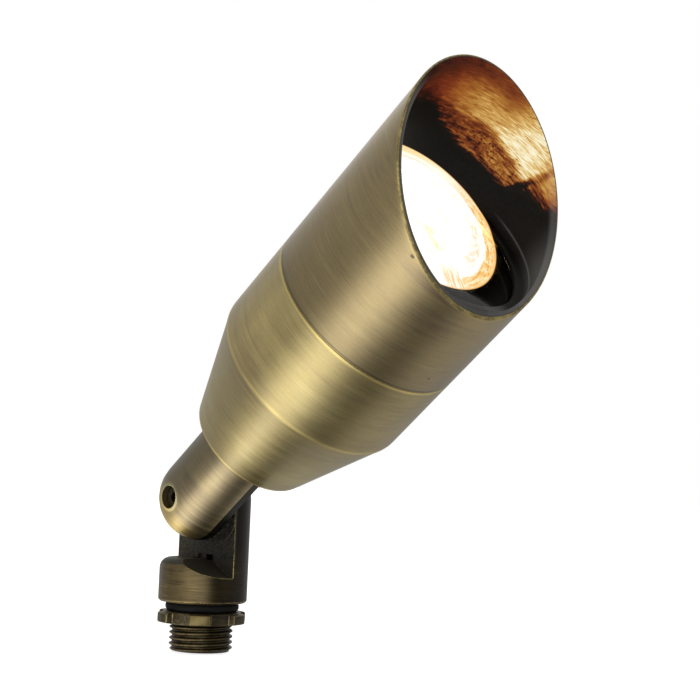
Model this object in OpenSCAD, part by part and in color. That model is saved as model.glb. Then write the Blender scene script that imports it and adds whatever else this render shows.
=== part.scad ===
// Directional garden spotlight head: a bullet-shaped brass housing with a
// turned, obliquely cut shroud, on a serrated aiming knuckle with a threaded
// nipple for a ground stake or junction box. Millimetres, +Z up along the
// nipple, origin at the bottom centre of the nipple.

/* [Nipple and lock nut] */
// Outer diameter over the nipple thread (half-inch straight pipe thread)
nipple_d = 21.0; // [19:0.1:23]
// Thread pitch of the nipple (14 turns to the inch)
nipple_pitch = 1.814; // [1:0.001:2.5]
// Length of the nipple, from its bottom to the underside of the lower knuckle
nipple_len = 16.1; // [12:0.1:25]
// Diameter of the wire way through the nipple
wire_d = 8.4; // [6:0.1:12]
// Thickness of the lock nut
nut_t = 4.0; // [3:0.1:6]
// Diameter over the lugs of the lock nut
nut_d = 30.2; // [27:0.1:34]
// Diameter of the lock nut between its lugs
nut_web_d = 26.0; // [24:0.1:30]
// Width of one lug of the lock nut
lug_w = 6.8; // [4:0.1:9]
// Thickness of the rubber gasket between nut and knuckle
gasket_t = 3.1; // [2:0.1:5]
// Diameter of the rubber gasket where it bulges most
gasket_d = 24.4; // [23:0.1:28]

/* [Lower knuckle] */
// Diameter of the lower knuckle
base_d = 29.4; // [26:0.1:34]
// Height of the tilt axis above the bottom of the nipple
pivot_z = 50.3; // [45:0.1:60]
// Distance from the tilt axis down to the flat seat
seat_drop = 19.9; // [17:0.1:24]
// Rounding of the outer top edge of the seat
seat_round = 3.4; // [1:0.1:5]
// Where the face of the tang lies, measured along the tilt axis from the nipple's centre line
tang_y = 0.45; // [0:0.05:2]
// Radius of the scooped relief in the seat
scoop_r = 35; // [25:1:50]

/* [Upper knuckle] */
// Diameter of the arm
arm_d = 28.7; // [26:0.1:34]
// Offset of the arm's centre line from the nipple's centre line, along the tilt axis
arm_y = -2.4; // [-4:0.1:0]
// Where the flat face of the arm lies, along the tilt axis
arm_face_y = -2.85; // [-4:0.05:-2]
// Tilt of the head away from upright, as it stands
tilt = 52; // [-90:1:115]

/* [Serrations and clamp screw] */
// Number of teeth in each serrated ring
teeth = 36; // [24:1:60]
// Outer radius of the serrated rings
ring_r = 14.0; // [11:0.1:14.2]
// Inner radius of the serrated rings
ring_bore_r = 9.0; // [7:0.1:11]
// Where the two rings meet, along the tilt axis
ring_mid_y = -1.2; // [-2:0.05:-0.5]
// Free gap between the crests of the two rings
ring_gap = 0.14; // [0.05:0.01:0.4]
// Thread diameter of the clamp screw
screw_d = 4.0; // [3:0.1:6]
// Diameter of the clamp screw's head
screw_head_d = 7.0; // [5:0.1:10]
// Diameter of the counterbore that hides the screw's head
counterbore_d = 7.5; // [6:0.1:11]

/* [Housing] */
// Distance from the tilt axis to the small end of the housing, along the head
housing_s = 32.5; // [28:0.1:40]
// Diameter of the housing at its small end
housing_small_d = 42.0; // [36:0.1:50]
// Outer diameter of the housing and the shroud
body_d = 65.2; // [55:0.1:80]
// Distance from the tilt axis to where the cone meets the cylinder
cone_s = 67.8; // [55:0.1:80]
// Distance from the tilt axis to the joint between housing and shroud
seam_s = 97.2; // [85:0.1:110]
// Wall thickness of the housing
housing_wall = 3.2; // [2:0.1:5]
// Diameter of the screwed spigot that carries the shroud
spigot_d = 60.0; // [54:0.1:62]
// Length of the spigot
spigot_len = 10.2; // [6:0.1:16]
// Inner diameter of the spigot
spigot_bore_d = 55.0; // [52:0.1:58]

/* [Shroud and lens] */
// Distance from the tilt axis to the middle of the oblique mouth
mouth_s = 150.8; // [135:0.1:165]
// Slope of the mouth, in degrees from square
mouth_slope = 32.0; // [0:0.5:45]
// How far the long side of the mouth is turned round from the top
mouth_turn = 5.5; // [-30:0.5:30]
// Inner diameter of the shroud at its mouth
mouth_d = 61.2; // [56:0.1:64]
// Inner diameter of the shroud behind the lens
shroud_bore_d = 60.2; // [56:0.1:63]
// Distance from the tilt axis to the front of the lens shoulder
shoulder_s = 131.2; // [120:0.1:140]
// Thickness of the lens shoulder
shoulder_t = 1.2; // [0.8:0.1:4]
// Diameter of the opening in the lens shoulder
window_d = 56.4; // [44:0.1:57]
// Thickness of the glass lens
lens_t = 3.4; // [2:0.1:6]
// Diameter of the glass lens
lens_d = 59.2; // [50:0.1:60]

/* [Lamp and socket] */
// Distance from the tilt axis to the face of the lamp
lamp_s = 115.5; // [105:0.1:120]
// Diameter of the reflector lamp
lamp_d = 50.7; // [35:0.1:51]
// Distance between the two lamp pins
pin_gap = 5.33; // [4:0.01:6.35]
// Diameter of a lamp pin
pin_d = 1.55; // [1:0.01:2]
// Length of a lamp pin
pin_len = 7.0; // [5:0.1:9]
// Height of the lamp's ceramic base and neck together
lamp_base_h = 12; // [8:0.1:16]
// Height of the ceramic socket
socket_h = 11.9; // [9:0.1:16]
// Diameter of the ceramic socket
socket_d = 18; // [15:0.1:24]
// Thickness of the sheet steel of the bracket
bracket_t = 1.2; // [0.8:0.1:2]

/* [Hidden] */
$fn = 96;
brass = [0.55, 0.43, 0.23];
brass_arm = [0.66, 0.56, 0.38];
brass_dark = [0.33, 0.27, 0.19];
rubber = [0.05, 0.05, 0.05];
steel = [0.72, 0.72, 0.71];
ceramic = [0.9, 0.88, 0.83];

nipple_r = nipple_d / 2;
thread_depth = 0.96;
// free thread below the lock nut
nipple_free = nipple_len - gasket_t - nut_t - 0.1;
base_r = base_d / 2;
seat_z = pivot_z - seat_drop;
arm_r = arm_d / 2;
body_r = body_d / 2;
floor_s = housing_s + 5.5;
// slope of the cone, as radius gained for each millimetre along the head
cone_k = (body_r - housing_small_d / 2) / (cone_s - housing_s);
// centre of the scoop cut, seen along the tilt axis and from the pivot
scoop_x = 24.8;
scoop_dz = scoop_r - 27.2;
// where the crests of the two serrated rings end
tang_crest = ring_mid_y + ring_gap / 2;
arm_crest = ring_mid_y - ring_gap / 2;
// depth of the recess that lets the wires round the screw
tang_recess_y = 5.0;
arm_recess_y = -6.0;
// counterbore floor, lock washer and screw head, along the tilt axis
washer_y = -9.0;
washer_t = 0.9;
screw_head_h = 4.0;
screw_end_y = 12.0;
shoulder_back = shoulder_s - shoulder_t;
lens_gasket_t = 0.5;
lens_front = shoulder_back - lens_gasket_t;
lens_back = lens_front - lens_t;
snap_t = 1.2;
lamp_back = lamp_s - 37.5;
socket_top = lamp_back - 0.1;
socket_bot = socket_top - socket_h;

// ---- frames and small helpers ------------------------------------------

// The head's own frame: z runs along the head from the tilt axis, x is the
// side that faces down as the head tilts, y lies along the tilt axis.
module head_frame() {
    translate([0, arm_y, pivot_z]) rotate([0, tilt, 0]) children();
}

// A cylinder that lies along the tilt axis from y0 to y1, at the pivot.
module pivot_cyl(r, y0, y1) {
    translate([0, y0, pivot_z]) rotate([-90, 0, 0]) cylinder(r = r, h = y1 - y0);
}

// Block with x and y centred, standing on z = 0.
module block(x, y, z) {
    translate([-x / 2, -y / 2, 0]) cube([x, y, z]);
}

// Quarter-circle points, centre (cx, cy), radius r, from angle a0 to a1.
function arc(cx, cy, r, a0, a1, n) =
    [for (i = [0 : n]) let (a = a0 + (a1 - a0) * i / n) [cx + r * cos(a), cy + r * sin(a)]];

// Profile of the pipe thread as parallel ridges with flat crests, from the
// nipple's bottom up. The last groove runs out against a full band.
function thread_points(len, r, depth, pitch) = let (n = floor(len / pitch) - 1) concat(
    [for (i = [0 : n - 1]) for (q = [[0, 0], [0.16, 0], [0.82, 1], [pitch - 0.66, 1]])
        [r - depth * q[1], i * pitch + q[0]]],
    [[r, n * pitch], [r, n * pitch + 0.16], [r - depth, n * pitch + 0.72],
     [r - depth, len - 0.7], [r, len - 0.16], [r, len]]);

// One ring of radial teeth: the crests lie at z = 0, the body below it. Each
// groove gets wider and deeper towards the rim, as a true face spline does.
module serrated_ring(h, turn) {
    k = 3.14159 / teeth;
    difference() {
        cylinder(r = ring_r, h = h);
        translate([0, 0, -1]) cylinder(r = ring_bore_r, h = h + 2);
        for (i = [0 : teeth - 1])
            rotate([0, 0, turn + i * 360 / teeth])
                translate([0, 0, h - 0.02])
                    rotate([0, atan(k * 0.92), 0])
                        translate([ring_bore_r - 2.5, 0, 0])
                            rotate([90, 0, 90])
                                linear_extrude(height = ring_r - ring_bore_r + 6)
                                    polygon([[0, 0.08], [2.4, 2.48], [-2.4, 2.48]]);
    }
}

// Relief in a knuckle's seat, seen along the tilt axis: flat on one side,
// scooped on the other, so that the mating half swings past it.
module seat_cut(y0, y1) {
    translate([0, y0, 0]) {
        translate([-30, 0, -seat_drop]) cube([60, y1 - y0, seat_drop + 30]);
        translate([scoop_x, 0, scoop_dz]) rotate([-90, 0, 0])
            cylinder(r = scoop_r, h = y1 - y0, $fn = 180);
    }
}

// ---- base ----------------------------------------------------------------

module lower_knuckle() color(brass_dark) {
    difference() {
        union() {
            // threaded nipple
            rotate_extrude() polygon(concat(
                [[0, 0]],
                thread_points(nipple_free, nipple_r, thread_depth, nipple_pitch),
                [[nipple_r - 0.5, nipple_free], [nipple_r - 0.5, nipple_len + 1], [0, nipple_len + 1]]));
            // round knuckle up to its seat
            difference() {
                rotate_extrude() polygon(concat(
                    [[0, nipple_len], [base_r - 0.6, nipple_len], [base_r, nipple_len + 0.6]],
                    arc(base_r - seat_round, seat_z - seat_round, seat_round, 0, 90, 6),
                    [[0, seat_z]]));
                translate([0, 0, pivot_z]) seat_cut(-20, tang_y);
            }
            // tang that rises past the tilt axis and ends in a dome
            difference() {
                rotate_extrude() polygon(concat(
                    [[0, nipple_len + 2], [base_r, nipple_len + 2]],
                    arc(0, pivot_z, base_r, 0, 90, 9)));
                translate([-20, -40 + tang_y, 0]) cube([40, 40, 80]);
            }
            // low raised pad under the serrated ring
            intersection() {
                pivot_cyl(16.8, tang_y - 0.25, tang_y + 1);
                translate([0, 0, nipple_len + 4]) cylinder(r = base_r - 0.4, h = 31);
                translate([-20, -20, pivot_z - 16.8]) cube([40, 40, 16.8]);
            }
            translate([0, tang_y + 0.3, pivot_z]) rotate([90, 0, 0])
                serrated_ring(tang_y + 0.3 - tang_crest, 5);
        }
        // wire way: up the nipple, behind the serrated ring, into the recess
        translate([0, 0, -1]) cylinder(d = wire_d, h = pivot_z - 18.6 + 1);
        translate([0, 4.2, 20]) cylinder(r = 3, h = pivot_z - 5 - 20);
        pivot_cyl(7.6, -3, tang_recess_y);
        // tapped hole of the clamp screw
        pivot_cyl(screw_d / 2 + 0.05, tang_recess_y - 1, screw_end_y + 1);
    }
}

module base_gasket() color(rubber)
    rotate_extrude() polygon(concat(
        [[nipple_r + 0.1, nipple_len - gasket_t]],
        arc(gasket_d / 2 - gasket_t / 2, nipple_len - gasket_t / 2, gasket_t / 2, -80, 80, 8),
        [[nipple_r + 0.1, nipple_len]]));

module lock_nut() color(brass_dark) {
    top = nipple_len - gasket_t;
    difference() {
        translate([0, 0, top - nut_t]) {
            rotate_extrude() polygon([[9, 0], [nut_web_d / 2 - 0.4, 0], [nut_web_d / 2, 0.4],
                [nut_web_d / 2, nut_t - 0.4], [nut_web_d / 2 - 0.4, nut_t], [9, nut_t]]);
            for (a = [0, 60, 120]) rotate([0, 0, a - 41]) intersection() {
                translate([0, 0, 0.3]) block(40, lug_w, nut_t - 0.6);
                rotate_extrude() polygon([[9, 0.3], [nut_d / 2 - 0.5, 0.3], [nut_d / 2, 0.8],
                    [nut_d / 2, nut_t - 0.8], [nut_d / 2 - 0.5, nut_t - 0.3], [9, nut_t - 0.3]]);
            }
        }
        cylinder(r = nipple_r + 0.06, h = 40);
    }
}

// ---- clamp screw ---------------------------------------------------------

module knuckle_screw() color(steel) difference() {
    union() {
        pivot_cyl(screw_d / 2, washer_y - washer_t - 1, screw_end_y);
        pivot_cyl(screw_head_d / 2, washer_y - washer_t - screw_head_h, washer_y - washer_t);
    }
    // hexagon socket for a 3 mm key
    translate([0, washer_y - washer_t - screw_head_h - 0.1, pivot_z]) rotate([-90, 0, 0])
        cylinder(r = 1.75, h = 2.3, $fn = 6);
}

module lock_washer() color(steel) difference() {
    pivot_cyl(3.5, washer_y - washer_t, washer_y);
    pivot_cyl(screw_d / 2 + 0.1, washer_y - 2, washer_y + 1);
    translate([0.2, washer_y - 2, pivot_z - 0.25]) cube([5, 4, 0.5]);
}

// ---- arm -----------------------------------------------------------------

module upper_knuckle() color(brass_arm) {
    fy = arm_face_y - arm_y;
    difference() {
        union() {
            head_frame() difference() {
                union() {
                    rotate_extrude() polygon(concat(
                        arc(0, 0.33, arm_r - 0.05, -90, 0, 9),
                        [[arm_r, 0.8], [arm_r, housing_s - 0.3], [arm_r - 0.3, housing_s], [0, housing_s]]));
                    // screwed stud that goes into the housing floor
                    translate([0, 0, housing_s - 1]) cylinder(r = 7.95, h = 12);
                }
                // the half that the tang takes up, with its relief
                intersection() {
                    translate([-20, fy, -20]) cube([40, 40, 60]);
                    mirror([0, 0, 1]) seat_cut(fy, 20);
                }
            }
            // serrated ring on the flat face
            translate([0, arm_face_y - 0.3, pivot_z]) rotate([0, tilt, 0]) rotate([-90, 0, 0])
                serrated_ring(arm_crest - arm_face_y + 0.3, 0);
        }
        // recess and wire way
        pivot_cyl(7.6, arm_recess_y, 1);
        head_frame() {
            translate([0, -4.1, 5]) cylinder(r = 3, h = 20);
            translate([0, 0, 22.5]) cylinder(r = 5, h = 30);
        }
        // screw hole, counterbore and its chamfer
        pivot_cyl(screw_d / 2 + 0.08, washer_y - 1, 0);
        pivot_cyl(counterbore_d / 2, -20, washer_y);
        translate([0, arm_y - arm_r - 0.3, pivot_z]) rotate([-90, 0, 0])
            cylinder(r1 = counterbore_d / 2 + 0.8, r2 = counterbore_d / 2 - 0.2, h = 1.0);
    }
}

module arm_oring() color(rubber) head_frame()
    translate([0, 0, housing_s + 0.88])
        rotate_extrude() translate([10.1, 0]) circle(r = 0.82, $fn = 32);

// ---- housing -------------------------------------------------------------

module housing() color(brass) head_frame() {
    in_floor = housing_small_d / 2 + cone_k * 5.5 - housing_wall * 1.05;
    bore_r = spigot_bore_d / 2;
    spigot_r = spigot_d / 2;
    end_s = seam_s + spigot_len;
    difference() {
        rotate_extrude() polygon([
            [8, housing_s], [housing_small_d / 2 - 0.3, housing_s],
            [housing_small_d / 2, housing_s + 0.3], [body_r, cone_s],
            [body_r, seam_s - 0.35], [body_r - 0.35, seam_s],
            [spigot_r, seam_s],
            [spigot_r, seam_s + 0.5], [spigot_r - 1.6, seam_s + 0.5],
            [spigot_r - 1.6, seam_s + 2.4], [spigot_r, seam_s + 2.4],
            [spigot_r, end_s - 0.8], [spigot_r - 0.8, end_s],
            [bore_r, end_s], [bore_r, floor_s + (bore_r - in_floor) / cone_k],
            [in_floor, floor_s], [8, floor_s]]);
        // seal groove under the arm's shoulder
        translate([0, 0, housing_s - 0.5]) difference() {
            cylinder(r = 11.05, h = 2.3);
            translate([0, 0, -1]) cylinder(r = 9.15, h = 5);
        }
        // tapped holes for the bracket screws
        for (y = [-14, 14]) translate([0, y, floor_s - 4]) cylinder(r = 1.5, h = 6);
    }
}

module housing_oring() color(rubber) head_frame()
    translate([0, 0, seam_s + 1.45])
        rotate_extrude($fn = 128) translate([spigot_d / 2 - 0.78, 0]) circle(r = 0.8, $fn = 32);

module wire_seal() color(rubber) head_frame() difference() {
    top = housing_s + 11;
    union() {
        translate([0, 0, top - 5]) cylinder(r1 = 4.6, r2 = 4.97, h = 5.5);
        translate([0, 0, top]) cylinder(r = 7.2, h = 2);
    }
    for (x = [-1, 1]) translate([x * pin_gap / 2, 0, top - 6]) cylinder(r = 1.2, h = 10);
}

// ---- socket and its bracket ----------------------------------------------

module socket_bracket() color(steel) head_frame() difference() {
    union() {
        translate([0, 0, socket_bot - bracket_t]) block(12, 21.2, bracket_t);
        for (m = [0, 1]) mirror([0, m, 0]) {
            translate([-6, 10.6 - bracket_t, floor_s]) cube([12, bracket_t, socket_bot - floor_s]);
            translate([-6, 10.6 - bracket_t, floor_s]) cube([12, 7.7, bracket_t]);
        }
    }
    for (y = [-14, 14]) translate([0, y, floor_s - 1]) cylinder(r = 1.7, h = 4);
    for (y = [-6.2, 6.2]) translate([0, y, socket_bot - 3]) cylinder(r = 1.35, h = 4);
    translate([0, 0, socket_bot - 3]) cylinder(r = 4.2, h = 4);
}

module pan_screw(r, l, head_r, head_h) {
    difference() {
        union() {
            translate([0, 0, -l]) cylinder(r = r, h = l + 0.5);
            cylinder(r1 = head_r, r2 = head_r * 0.8, h = head_h);
        }
        for (a = [0, 90]) rotate([0, 0, a])
            translate([-head_r * 0.55, -0.3, head_h - 0.8]) cube([head_r * 1.1, 0.6, 2]);
    }
}

module bracket_screws() color(steel) head_frame()
    for (y = [-14, 14]) translate([0, y, floor_s + bracket_t]) pan_screw(1.48, 4.8, 2.8, 2);

module socket_screws() color(steel) head_frame()
    for (y = [-6.2, 6.2]) translate([0, y, socket_bot - bracket_t]) mirror([0, 0, 1])
        pan_screw(1.23, 7, 2.2, 1.6);

module socket_body() color(ceramic) head_frame() difference() {
    rotate_extrude() polygon([[0, socket_bot], [socket_d / 2 - 0.5, socket_bot],
        [socket_d / 2, socket_bot + 0.5], [socket_d / 2, socket_top - 0.8],
        [socket_d / 2 - 0.8, socket_top], [0, socket_top]]);
    for (x = [-1, 1]) translate([x * pin_gap / 2, 0, 0]) {
        translate([0, 0, socket_bot + 1.5]) cylinder(r = 1.75, h = socket_h - 2.5);
        translate([0, 0, socket_top - 2]) cylinder(r = 0.98, h = 3);
        translate([0, 0, socket_bot - 1]) cylinder(r = 1.2, h = 3);
    }
    for (y = [-6.2, 6.2]) translate([0, y, socket_bot - 1]) cylinder(r = 1.25, h = 7.2);
}

module socket_contacts() color(steel) head_frame()
    for (x = [-1, 1]) translate([x * pin_gap / 2, 0, socket_bot + 1.5]) difference() {
        cylinder(r = 1.7, h = socket_h - 2.55);
        translate([0, 0, 1]) cylinder(r = pin_d / 2 + 0.07, h = 20);
    }

module socket_leads() color([0.85, 0.84, 0.8]) head_frame()
    for (x = [-1, 1]) translate([x * pin_gap / 2, 0, 59])
        cylinder(r = 1.1, h = socket_bot + 1.5 - 59);

module crimp_splices() color([0.75, 0.6, 0.2]) head_frame()
    for (x = [-1, 1]) translate([x * pin_gap / 2, 0, 47]) rotate_extrude()
        polygon([[0, 0], [1.9, 0], [2.3, 0.5], [2.3, 4], [2.0, 4.5], [2.0, 7.5],
                 [2.3, 8], [2.3, 11.5], [1.9, 12], [0, 12]]);

// ---- lamp ----------------------------------------------------------------

// Height above the reflector's neck for a share t of the dish's depth.
function dish(t) = 9 + (lamp_d / 2 - 9) * sqrt(t);

module lamp_reflector() color([0.88, 0.89, 0.9]) head_frame() {
    s0 = lamp_back + 8;
    s1 = lamp_s - 3.5;
    n = 10;
    rotate_extrude() polygon(concat(
        [[7.6, lamp_back + 4], [9, lamp_back + 4]],
        [for (i = [0 : n]) [dish(pow(i / n, 2)), s0 + (s1 - s0) * pow(i / n, 2)]],
        [[lamp_d / 2, lamp_s], [24.5, lamp_s], [24.5, lamp_s - 1.9], [23.6, lamp_s - 1.9]],
        [for (i = [n : -1 : 1]) [dish(pow(i / n, 2)) - 1.6, s0 + 0.9 + (s1 - s0) * pow(i / n, 2)]],
        [[7.6, s0 + 0.9]]));
}

module lamp_glass() color([0.95, 0.97, 1, 0.4]) head_frame()
    translate([0, 0, lamp_s - 1.85]) cylinder(r = 24.4, h = 1.7);

module lamp_capsule() color([0.95, 0.97, 1, 0.5]) head_frame()
    translate([0, 0, lamp_back + lamp_base_h]) rotate_extrude() polygon(concat(
        [[0, 0], [3.2, 0], [4.2, 1.5]], arc(0, 9.5, 4.2, 5, 90, 8)));

module lamp_base() color(ceramic) head_frame() difference() {
    union() {
        intersection() {
            translate([0, 0, lamp_back + 3]) block(14.4, 8.4, lamp_base_h - 3);
            translate([0, 0, lamp_back]) cylinder(r = 7.5, h = lamp_base_h);
        }
        translate([0, 0, lamp_back]) intersection() {
            block(16, 10.4, 4);
            cylinder(r = 8.8, h = 4);
        }
    }
    for (x = [-1, 1]) translate([x * pin_gap / 2, 0, lamp_back - 1]) cylinder(r = pin_d / 2, h = 2.5);
}

module lamp_pins() color(steel) head_frame()
    for (x = [-1, 1]) translate([x * pin_gap / 2, 0, lamp_back - pin_len]) rotate_extrude()
        polygon([[0, 0], [0.45, 0], [pin_d / 2, 0.5], [pin_d / 2, pin_len + 1.5], [0, pin_len + 1.5]]);

// ---- lens and shroud -----------------------------------------------------

module lens() color([0.9, 0.95, 0.95, 0.35]) head_frame()
    rotate_extrude($fn = 128) polygon([[0, lens_back], [lens_d / 2 - 0.4, lens_back],
        [lens_d / 2, lens_back + 0.4], [lens_d / 2, lens_front - 0.4],
        [lens_d / 2 - 0.4, lens_front], [0, lens_front]]);

module lens_gasket() color(rubber) head_frame()
    rotate_extrude($fn = 128) translate([window_d / 2, lens_front]) square([1.5, lens_gasket_t - 0.05]);

module lens_ring() color(steel) head_frame() difference() {
    rotate_extrude($fn = 128) translate([27.6, lens_back - snap_t - 0.1]) square([3.3, snap_t]);
    translate([26, -3, lens_back - 4]) cube([8, 6, 8]);
}

module shroud() color(brass) head_frame() {
    b = shroud_bore_d / 2;
    difference() {
        rotate_extrude($fn = 128) polygon([
            [b, seam_s + 0.05], [body_r - 0.3, seam_s + 0.05], [body_r, seam_s + 0.35],
            [body_r, mouth_s + 30], [mouth_d / 2, mouth_s + 30],
            [mouth_d / 2, shoulder_s], [window_d / 2, shoulder_s],
            [window_d / 2, shoulder_back], [b, shoulder_back],
            [b, lens_back - 0.05], [b + 0.9, lens_back - 0.05],
            [b + 0.9, lens_back - snap_t - 0.15], [b, lens_back - snap_t - 0.15]]);
        // oblique mouth, long side up
        translate([0, 0, mouth_s]) rotate([0, 0, 180 - mouth_turn]) rotate([0, -mouth_slope, 0])
            translate([-80, -60, 0]) cube([160, 120, 80]);
    }
}

lower_knuckle();
base_gasket();
lock_nut();
knuckle_screw();
lock_washer();
upper_knuckle();
arm_oring();
housing();
housing_oring();
wire_seal();
socket_bracket();
bracket_screws();
socket_body();
socket_screws();
socket_contacts();
socket_leads();
crimp_splices();
lamp_reflector();
lamp_glass();
lamp_capsule();
lamp_base();
lamp_pins();
lens();
lens_gasket();
lens_ring();
shroud();
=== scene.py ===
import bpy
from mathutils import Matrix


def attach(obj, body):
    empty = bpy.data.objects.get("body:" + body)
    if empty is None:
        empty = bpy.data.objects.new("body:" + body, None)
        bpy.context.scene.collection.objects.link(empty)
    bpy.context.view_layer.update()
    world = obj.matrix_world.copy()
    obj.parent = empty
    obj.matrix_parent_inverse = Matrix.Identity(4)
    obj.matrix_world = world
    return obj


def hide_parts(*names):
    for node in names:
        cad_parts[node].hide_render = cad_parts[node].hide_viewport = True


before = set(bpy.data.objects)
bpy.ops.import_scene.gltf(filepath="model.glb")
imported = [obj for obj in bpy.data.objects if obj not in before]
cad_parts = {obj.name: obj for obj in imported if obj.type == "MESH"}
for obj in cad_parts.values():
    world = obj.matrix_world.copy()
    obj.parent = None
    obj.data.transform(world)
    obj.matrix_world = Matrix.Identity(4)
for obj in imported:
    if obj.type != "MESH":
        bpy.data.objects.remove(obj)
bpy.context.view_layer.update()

import math
import bpy
import bmesh
from mathutils import Matrix, Vector

MM = 0.001
scene = bpy.context.scene

# ---------------------------------------------------------------------------
# sizes, in millimetres, as in the CAD model
# ---------------------------------------------------------------------------
PIVOT_Z = 50.3
TILT = math.radians(52.0)
ARM_Y = -2.4
ARM_R = 14.35
ARM_FACE_Y = -2.85
BASE_R = 14.7
TANG_Y = 0.45
NIPPLE_R = 10.5
NIPPLE_LEN = 16.1
PITCH = 1.814
WIRE_R = 4.2
GASKET_T = 3.1
NUT_T = 4.0
BODY_R = 32.6
HOUSING_S = 32.5
SMALL_R = 21.0
CONE_S = 67.8
SEAM_S = 97.2
MOUTH_S = 150.8
MOUTH_K = math.tan(math.radians(32.0))
MOUTH_TURN = math.radians(5.5)
MOUTH_R = 30.6
SHROUD_BORE_R = 30.1
SHOULDER_S = 131.2
SHOULDER_BACK = 130.0
WINDOW_R = 28.2
LENS_FRONT = 129.5
LENS_BACK = 126.1
LENS_R = 29.6

AX_H = Vector((math.sin(TILT), 0, math.cos(TILT)))
AX_E = Vector((math.cos(TILT), 0, -math.sin(TILT)))
AX_Y = Vector((0, 1, 0))
HEAD = Matrix((
    (AX_E.x, AX_Y.x, AX_H.x, 0),
    (AX_E.y, AX_Y.y, AX_H.y, ARM_Y * MM),
    (AX_E.z, AX_Y.z, AX_H.z, PIVOT_Z * MM),
    (0, 0, 0, 1)))

RIGHT = Vector((0.6974296191, 0.7154882964, 0.0408463466))
UP = Vector((0.0273150538, -0.0834936885, 0.9961338724))
BACK = Vector((0.7161325395, -0.6936175471, -0.0777745727))
CAM = Vector((0.3998970744, -0.3237970443, 0.0617984460))

# ---------------------------------------------------------------------------
# node helpers
# ---------------------------------------------------------------------------


class Tree:
    """Small helpers around a node tree."""

    def __init__(self, tree):
        self.t = tree

    def put(self, sock, v):
        if v is None:
            return
        if isinstance(v, bpy.types.NodeSocket):
            self.t.links.new(v, sock)
        else:
            try:
                sock.default_value = v
            except TypeError:
                sock.default_value = (v, v, v)
            except ValueError:
                sock.default_value = tuple(v) + (1,)

    def node(self, kind, **props):
        n = self.t.nodes.new("ShaderNode" + kind)
        for k, v in props.items():
            setattr(n, k, v)
        return n

    def math(self, op, a, b=None, c=None, clamp=False):
        n = self.node("Math", operation=op, use_clamp=clamp)
        for i, v in enumerate((a, b, c)):
            if v is not None:
                self.put(n.inputs[i], v)
        return n.outputs[0]

    def add(self, *vs):
        out = vs[0]
        for v in vs[1:]:
            out = self.math("ADD", out, v)
        return out

    def mul(self, *vs):
        out = vs[0]
        for v in vs[1:]:
            out = self.math("MULTIPLY", out, v)
        return out

    def vec(self, op, a, b=None, scale=None):
        n = self.node("VectorMath", operation=op)
        self.put(n.inputs[0], a)
        if b is not None:
            self.put(n.inputs[1], b)
        if scale is not None:
            self.put(n.inputs["Scale"], scale)
        return n.outputs["Value" if op in ("DOT_PRODUCT", "LENGTH", "DISTANCE") else "Vector"]

    def mix(self, fac, a, b, mode="MIX"):
        n = self.node("Mix", data_type="RGBA", blend_type=mode)
        n.clamp_factor = True
        self.put(n.inputs["Factor"], fac)
        self.put(n.inputs[6], a)
        self.put(n.inputs[7], b)
        return n.outputs[2]

    def mixf(self, fac, a, b):
        n = self.node("Mix", data_type="FLOAT")
        n.clamp_factor = True
        self.put(n.inputs["Factor"], fac)
        self.put(n.inputs[2], a)
        self.put(n.inputs[3], b)
        return n.outputs[0]

    def ramp(self, fac, stops, interp="LINEAR"):
        n = self.node("ValToRGB")
        n.color_ramp.interpolation = interp
        els = n.color_ramp.elements
        while len(els) > 1:
            els.remove(els[-1])
        for i, (p, c) in enumerate(stops):
            c = (c, c, c, 1) if isinstance(c, (int, float)) else tuple(c) + (1,) * (4 - len(c))
            if i == 0:
                els[0].position, els[0].color = p, c
            else:
                el = els.new(p)
                el.color = c
        self.put(n.inputs[0], fac)
        return n.outputs[0]

    def curve(self, x, stops, smooth=True):
        """A number that follows (place, value) stops, for places in rising order."""
        lo, hi = stops[0][0], stops[-1][0]
        top = max(v for _, v in stops) or 1.0
        u = self.node("MapRange", interpolation_type="LINEAR")
        self.put(u.inputs["Value"], x)
        u.inputs["From Min"].default_value = lo
        u.inputs["From Max"].default_value = hi
        r = self.ramp(u.outputs["Result"], [((p - lo) / (hi - lo), v / top) for p, v in stops],
                      "EASE" if smooth else "LINEAR")
        return self.mul(r, top)

    def step(self, x, lo, hi, smooth=True):
        """0 below lo, 1 above hi; lo > hi turns it round."""
        n = self.node("MapRange", interpolation_type="SMOOTHSTEP" if smooth else "LINEAR")
        self.put(n.inputs["Value"], x)
        if lo <= hi:
            a, b, c, d = lo, hi, 0.0, 1.0
        else:
            a, b, c, d = hi, lo, 1.0, 0.0
        for k, v in zip(("From Min", "From Max", "To Min", "To Max"), (a, b, c, d)):
            n.inputs[k].default_value = v
        return n.outputs["Result"]

    def band(self, x, lo, hi, soft):
        return self.mul(self.step(x, lo - soft, lo + soft), self.step(x, hi + soft, hi - soft))

    def bell(self, x, at, half):
        """1 at the place, falling smoothly to 0 at half's distance either side."""
        d = self.math("ABSOLUTE", self.math("SUBTRACT", x, at))
        return self.step(d, half, 0.0)

    def noise(self, vec, scale=1.0, detail=3.0, rough=0.5, dist=0.0, lac=2.0):
        n = self.node("TexNoise")
        n.inputs["Scale"].default_value = scale
        n.inputs["Detail"].default_value = detail
        n.inputs["Roughness"].default_value = rough
        n.inputs["Distortion"].default_value = dist
        n.inputs["Lacunarity"].default_value = lac
        self.put(n.inputs["Vector"], vec)
        return n.outputs["Fac"]

    def spots(self, vec, density, size_lo, size_hi):
        """Round spots at random places: 1 inside, 0 outside."""
        n = self.node("TexVoronoi", feature="F1")
        n.inputs["Scale"].default_value = density
        self.put(n.inputs["Vector"], vec)
        return self.step(n.outputs["Distance"], size_hi, size_lo)

    def scaled(self, vec, s):
        return self.vec("MULTIPLY", vec, tuple(s))


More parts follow.
